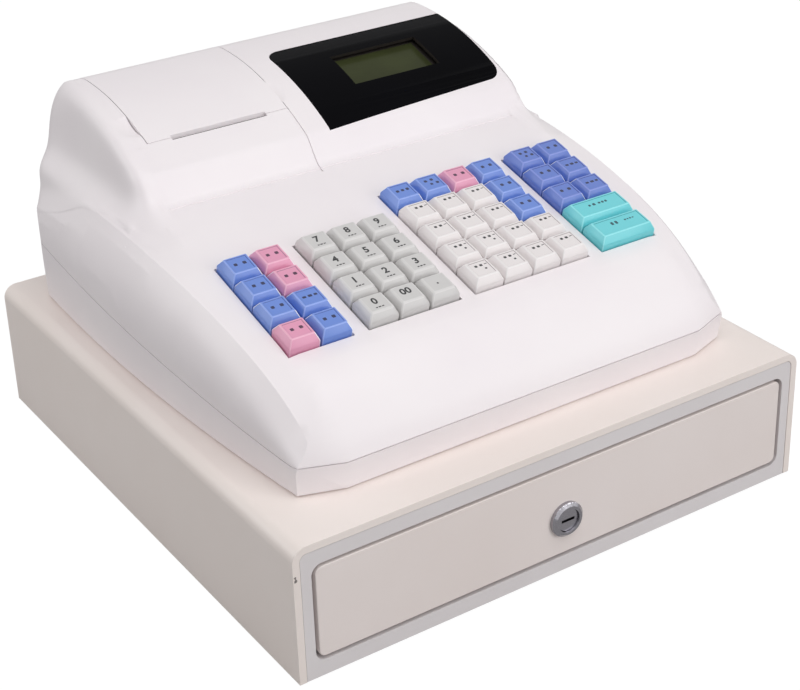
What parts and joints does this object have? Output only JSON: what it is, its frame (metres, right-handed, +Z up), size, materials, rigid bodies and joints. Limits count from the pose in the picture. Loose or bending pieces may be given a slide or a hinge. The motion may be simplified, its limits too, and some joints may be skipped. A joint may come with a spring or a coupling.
{
  "type": "ticket register",
  "caption": "Compact receipt register with a sloping keyboard, a printer and display hump and a lockable sliding cash drawer beneath.",
  "frame": {"origin": "centre of the footprint on the ground under the feet", "axes": "+X to the right seen from the front, +Y to the rear, +Z up; the drawer opens towards -Y"},
  "size_m": [0.325, 0.3486, 0.2118],
  "materials": {
    "cabinet_paint": "satin",
    "zinc_steel": "satin",
    "frame_paint": "satin",
    "front_paint": "satin",
    "foot_rubber": "matt",
    "buffer_rubber": "matt",
    "tray_plastic": "matt",
    "clip_plastic": "matt",
    "lock_chrome": "polished",
    "case_plastic": "satin",
    "mechanism_plastic": "matt",
    "platen_rubber": "matt",
    "window_plastic": "gloss",
    "display_plastic": "satin",
    "board_laminate": "satin",
    "blue_key": "gloss",
    "deep_blue_key": "gloss",
    "pink_key": "gloss",
    "cyan_key": "gloss",
    "white_key": "gloss",
    "grey_key": "satin"
  },
  "bodies": {
    "register": {"cabinet_cover": "cabinet_paint", "cabinet_base": "zinc_steel", "front_frame": "frame_paint", "rubber_feet": "foot_rubber", "cabinet_runners": "zinc_steel", "drawer_buffers": "buffer_rubber", "release_solenoid": "zinc_steel", "upper_case": "case_plastic", "lower_case": "case_plastic", "printer_mechanism": "mechanism_plastic", "display_window": "window_plastic", "display_module": "display_plastic", "keyboard_plate": "zinc_steel", "main_board": "board_laminate", "case_screws": "zinc_steel"},
    "drawer": {"drawer_runners": "zinc_steel", "drawer_front": "front_paint", "drawer_box": "zinc_steel", "cash_tray": "tray_plastic", "clip_rod": "zinc_steel", "lock_barrel": "lock_chrome"},
    "bill_clip_left": {"bill_clip_left": "clip_plastic"},
    "bill_clip_middle": {"bill_clip_middle": "clip_plastic"},
    "bill_clip_right": {"bill_clip_right": "clip_plastic"},
    "lock": {"lock_plug": "lock_chrome", "lock_cam": "zinc_steel"},
    "drawer_latch": {"drawer_latch": "zinc_steel"},
    "printer_cover": {"printer_cover": "case_plastic"},
    "platen_roller": {"platen_roller": "platen_rubber"},
    "left_key_row1_a": {"left_key_row1_a": "pink_key"},
    "left_key_row1_b": {"left_key_row1_b": "blue_key"},
    "left_key_row2_a": {"left_key_row2_a": "blue_key"},
    "left_key_row2_b": {"left_key_row2_b": "blue_key"},
    "left_key_row3_a": {"left_key_row3_a": "blue_key"},
    "left_key_row3_b": {"left_key_row3_b": "pink_key"},
    "left_key_row4_a": {"left_key_row4_a": "blue_key"},
    "left_key_row4_b": {"left_key_row4_b": "pink_key"},
    "number_key_0": {"number_key_0": "grey_key"},
    "number_key_00": {"number_key_00": "grey_key"},
    "number_key_point": {"number_key_point": "grey_key"},
    "number_key_1": {"number_key_1": "grey_key"},
    "number_key_2": {"number_key_2": "grey_key"},
    "number_key_3": {"number_key_3": "grey_key"},
    "number_key_4": {"number_key_4": "grey_key"},
    "number_key_5": {"number_key_5": "grey_key"},
    "number_key_6": {"number_key_6": "grey_key"},
    "number_key_7": {"number_key_7": "grey_key"},
    "number_key_8": {"number_key_8": "grey_key"},
    "number_key_9": {"number_key_9": "grey_key"},
    "white_keys_row1": {"white_keys_row1": "white_key"},
    "white_keys_row2": {"white_keys_row2": "white_key"},
    "white_keys_row3": {"white_keys_row3": "white_key"},
    "white_keys_row4": {"white_keys_row4": "white_key"},
    "middle_keys_right": {"middle_keys_right": "blue_key"},
    "middle_keys_back": {"middle_keys_back": "blue_key"},
    "middle_key_pink": {"middle_key_pink": "pink_key"},
    "right_keys_left": {"right_keys_left": "deep_blue_key"},
    "right_keys_right": {"right_keys_right": "deep_blue_key"},
    "wide_key_front": {"wide_key_front": "cyan_key"},
    "wide_key_rear": {"wide_key_rear": "cyan_key"}
  },
  "joints": [
    {"name": "drawer_slide", "type": "slide", "parent": "register", "child": "drawer", "axis": [0, -1, 0], "range_m": [0, 0.23]},
    {"name": "printer_cover_hinge", "type": "hinge", "parent": "register", "child": "printer_cover", "pos_m": [0, 0.14525, 0.20751], "axis": [-1, 0, 0], "range_deg": [0, 80]},
    {"name": "lock_turn", "type": "hinge", "parent": "drawer", "child": "lock", "pos_m": [0, -0.17075, 0.035], "axis": [0, -1, 0], "range_deg": [0, 90]},
    {"name": "bill_clip_left_hinge", "type": "hinge", "parent": "drawer", "child": "bill_clip_left", "pos_m": [0, 0.11425, 0.0485], "axis": [-1, 0, 0], "range_deg": [0, 28]},
    {"name": "bill_clip_middle_hinge", "type": "hinge", "parent": "drawer", "child": "bill_clip_middle", "pos_m": [0, 0.11425, 0.0485], "axis": [-1, 0, 0], "range_deg": [0, 28]},
    {"name": "bill_clip_right_hinge", "type": "hinge", "parent": "drawer", "child": "bill_clip_right", "pos_m": [0, 0.11425, 0.0485], "axis": [-1, 0, 0], "range_deg": [0, 28]},
    {"name": "drawer_latch_hinge", "type": "hinge", "parent": "register", "child": "drawer_latch", "pos_m": [0, 0.15625, 0.053], "axis": [1, 0, 0], "range_deg": [0, 9]},
    {"name": "platen_turn", "type": "hinge", "parent": "register", "child": "platen_roller", "pos_m": [-0.064, 0.07225, 0.1868], "axis": [1, 0, 0], "continuous": true},
    {"name": "left_key_row1_a_press", "type": "slide", "parent": "register", "child": "left_key_row1_a", "axis": [0, 0.2476, -0.9689], "range_m": [0, 0.003], "stiffness_N_per_m": 150},
    {"name": "left_key_row1_b_press", "type": "slide", "parent": "register", "child": "left_key_row1_b", "axis": [0, 0.2476, -0.9689], "range_m": [0, 0.003], "stiffness_N_per_m": 150},
    {"name": "left_key_row2_a_press", "type": "slide", "parent": "register", "child": "left_key_row2_a", "axis": [0, 0.2476, -0.9689], "range_m": [0, 0.003], "stiffness_N_per_m": 150},
    {"name": "left_key_row2_b_press", "type": "slide", "parent": "register", "child": "left_key_row2_b", "axis": [0, 0.2476, -0.9689], "range_m": [0, 0.003], "stiffness_N_per_m": 150},
    {"name": "left_key_row3_a_press", "type": "slide", "parent": "register", "child": "left_key_row3_a", "axis": [0, 0.2476, -0.9689], "range_m": [0, 0.003], "stiffness_N_per_m": 150},
    {"name": "left_key_row3_b_press", "type": "slide", "parent": "register", "child": "left_key_row3_b", "axis": [0, 0.2476, -0.9689], "range_m": [0, 0.003], "stiffness_N_per_m": 150},
    {"name": "left_key_row4_a_press", "type": "slide", "parent": "register", "child": "left_key_row4_a", "axis": [0, 0.2476, -0.9689], "range_m": [0, 0.003], "stiffness_N_per_m": 150},
    {"name": "left_key_row4_b_press", "type": "slide", "parent": "register", "child": "left_key_row4_b", "axis": [0, 0.2476, -0.9689], "range_m": [0, 0.003], "stiffness_N_per_m": 150},
    {"name": "number_key_0_press", "type": "slide", "parent": "register", "child": "number_key_0", "axis": [0, 0.2476, -0.9689], "range_m": [0, 0.003], "stiffness_N_per_m": 150},
    {"name": "number_key_00_press", "type": "slide", "parent": "register", "child": "number_key_00", "axis": [0, 0.2476, -0.9689], "range_m": [0, 0.003], "stiffness_N_per_m": 150},
    {"name": "number_key_point_press", "type": "slide", "parent": "register", "child": "number_key_point", "axis": [0, 0.2476, -0.9689], "range_m": [0, 0.003], "stiffness_N_per_m": 150},
    {"name": "number_key_1_press", "type": "slide", "parent": "register", "child": "number_key_1", "axis": [0, 0.2476, -0.9689], "range_m": [0, 0.003], "stiffness_N_per_m": 150},
    {"name": "number_key_2_press", "type": "slide", "parent": "register", "child": "number_key_2", "axis": [0, 0.2476, -0.9689], "range_m": [0, 0.003], "stiffness_N_per_m": 150},
    {"name": "number_key_3_press", "type": "slide", "parent": "register", "child": "number_key_3", "axis": [0, 0.2476, -0.9689], "range_m": [0, 0.003], "stiffness_N_per_m": 150},
    {"name": "number_key_4_press", "type": "slide", "parent": "register", "child": "number_key_4", "axis": [0, 0.2476, -0.9689], "range_m": [0, 0.003], "stiffness_N_per_m": 150},
    {"name": "number_key_5_press", "type": "slide", "parent": "register", "child": "number_key_5", "axis": [0, 0.2476, -0.9689], "range_m": [0, 0.003], "stiffness_N_per_m": 150},
    {"name": "number_key_6_press", "type": "slide", "parent": "register", "child": "number_key_6", "axis": [0, 0.2476, -0.9689], "range_m": [0, 0.003], "stiffness_N_per_m": 150},
    {"name": "number_key_7_press", "type": "slide", "parent": "register", "child": "number_key_7", "axis": [0, 0.2476, -0.9689], "range_m": [0, 0.003], "stiffness_N_per_m": 150},
    {"name": "number_key_8_press", "type": "slide", "parent": "register", "child": "number_key_8", "axis": [0, 0.2476, -0.9689], "range_m": [0, 0.003], "stiffness_N_per_m": 150},
    {"name": "number_key_9_press", "type": "slide", "parent": "register", "child": "number_key_9", "axis": [0, 0.2476, -0.9689], "range_m": [0, 0.003], "stiffness_N_per_m": 150},
    {"name": "white_keys_row1_press", "type": "slide", "parent": "register", "child": "white_keys_row1", "axis": [0, 0.2476, -0.9689], "range_m": [0, 0.003], "stiffness_N_per_m": 150},
    {"name": "white_keys_row2_press", "type": "slide", "parent": "register", "child": "white_keys_row2", "axis": [0, 0.2476, -0.9689], "range_m": [0, 0.003], "stiffness_N_per_m": 150},
    {"name": "white_keys_row3_press", "type": "slide", "parent": "register", "child": "white_keys_row3", "axis": [0, 0.2476, -0.9689], "range_m": [0, 0.003], "stiffness_N_per_m": 150},
    {"name": "white_keys_row4_press", "type": "slide", "parent": "register", "child": "white_keys_row4", "axis": [0, 0.2476, -0.9689], "range_m": [0, 0.003], "stiffness_N_per_m": 150},
    {"name": "middle_keys_right_press", "type": "slide", "parent": "register", "child": "middle_keys_right", "axis": [0, 0.2476, -0.9689], "range_m": [0, 0.003], "stiffness_N_per_m": 150},
    {"name": "middle_keys_back_press", "type": "slide", "parent": "register", "child": "middle_keys_back", "axis": [0, 0.2476, -0.9689], "range_m": [0, 0.003], "stiffness_N_per_m": 150},
    {"name": "middle_key_pink_press", "type": "slide", "parent": "register", "child": "middle_key_pink", "axis": [0, 0.2476, -0.9689], "range_m": [0, 0.003], "stiffness_N_per_m": 150},
    {"name": "right_keys_left_press", "type": "slide", "parent": "register", "child": "right_keys_left", "axis": [0, 0.2476, -0.9689], "range_m": [0, 0.003], "stiffness_N_per_m": 150},
    {"name": "right_keys_right_press", "type": "slide", "parent": "register", "child": "right_keys_right", "axis": [0, 0.2476, -0.9689], "range_m": [0, 0.003], "stiffness_N_per_m": 150},
    {"name": "wide_key_front_press", "type": "slide", "parent": "register", "child": "wide_key_front", "axis": [0, 0.2476, -0.9689], "range_m": [0, 0.003], "stiffness_N_per_m": 150},
    {"name": "wide_key_rear_press", "type": "slide", "parent": "register", "child": "wide_key_rear", "axis": [0, 0.2476, -0.9689], "range_m": [0, 0.003], "stiffness_N_per_m": 150}
  ]
}
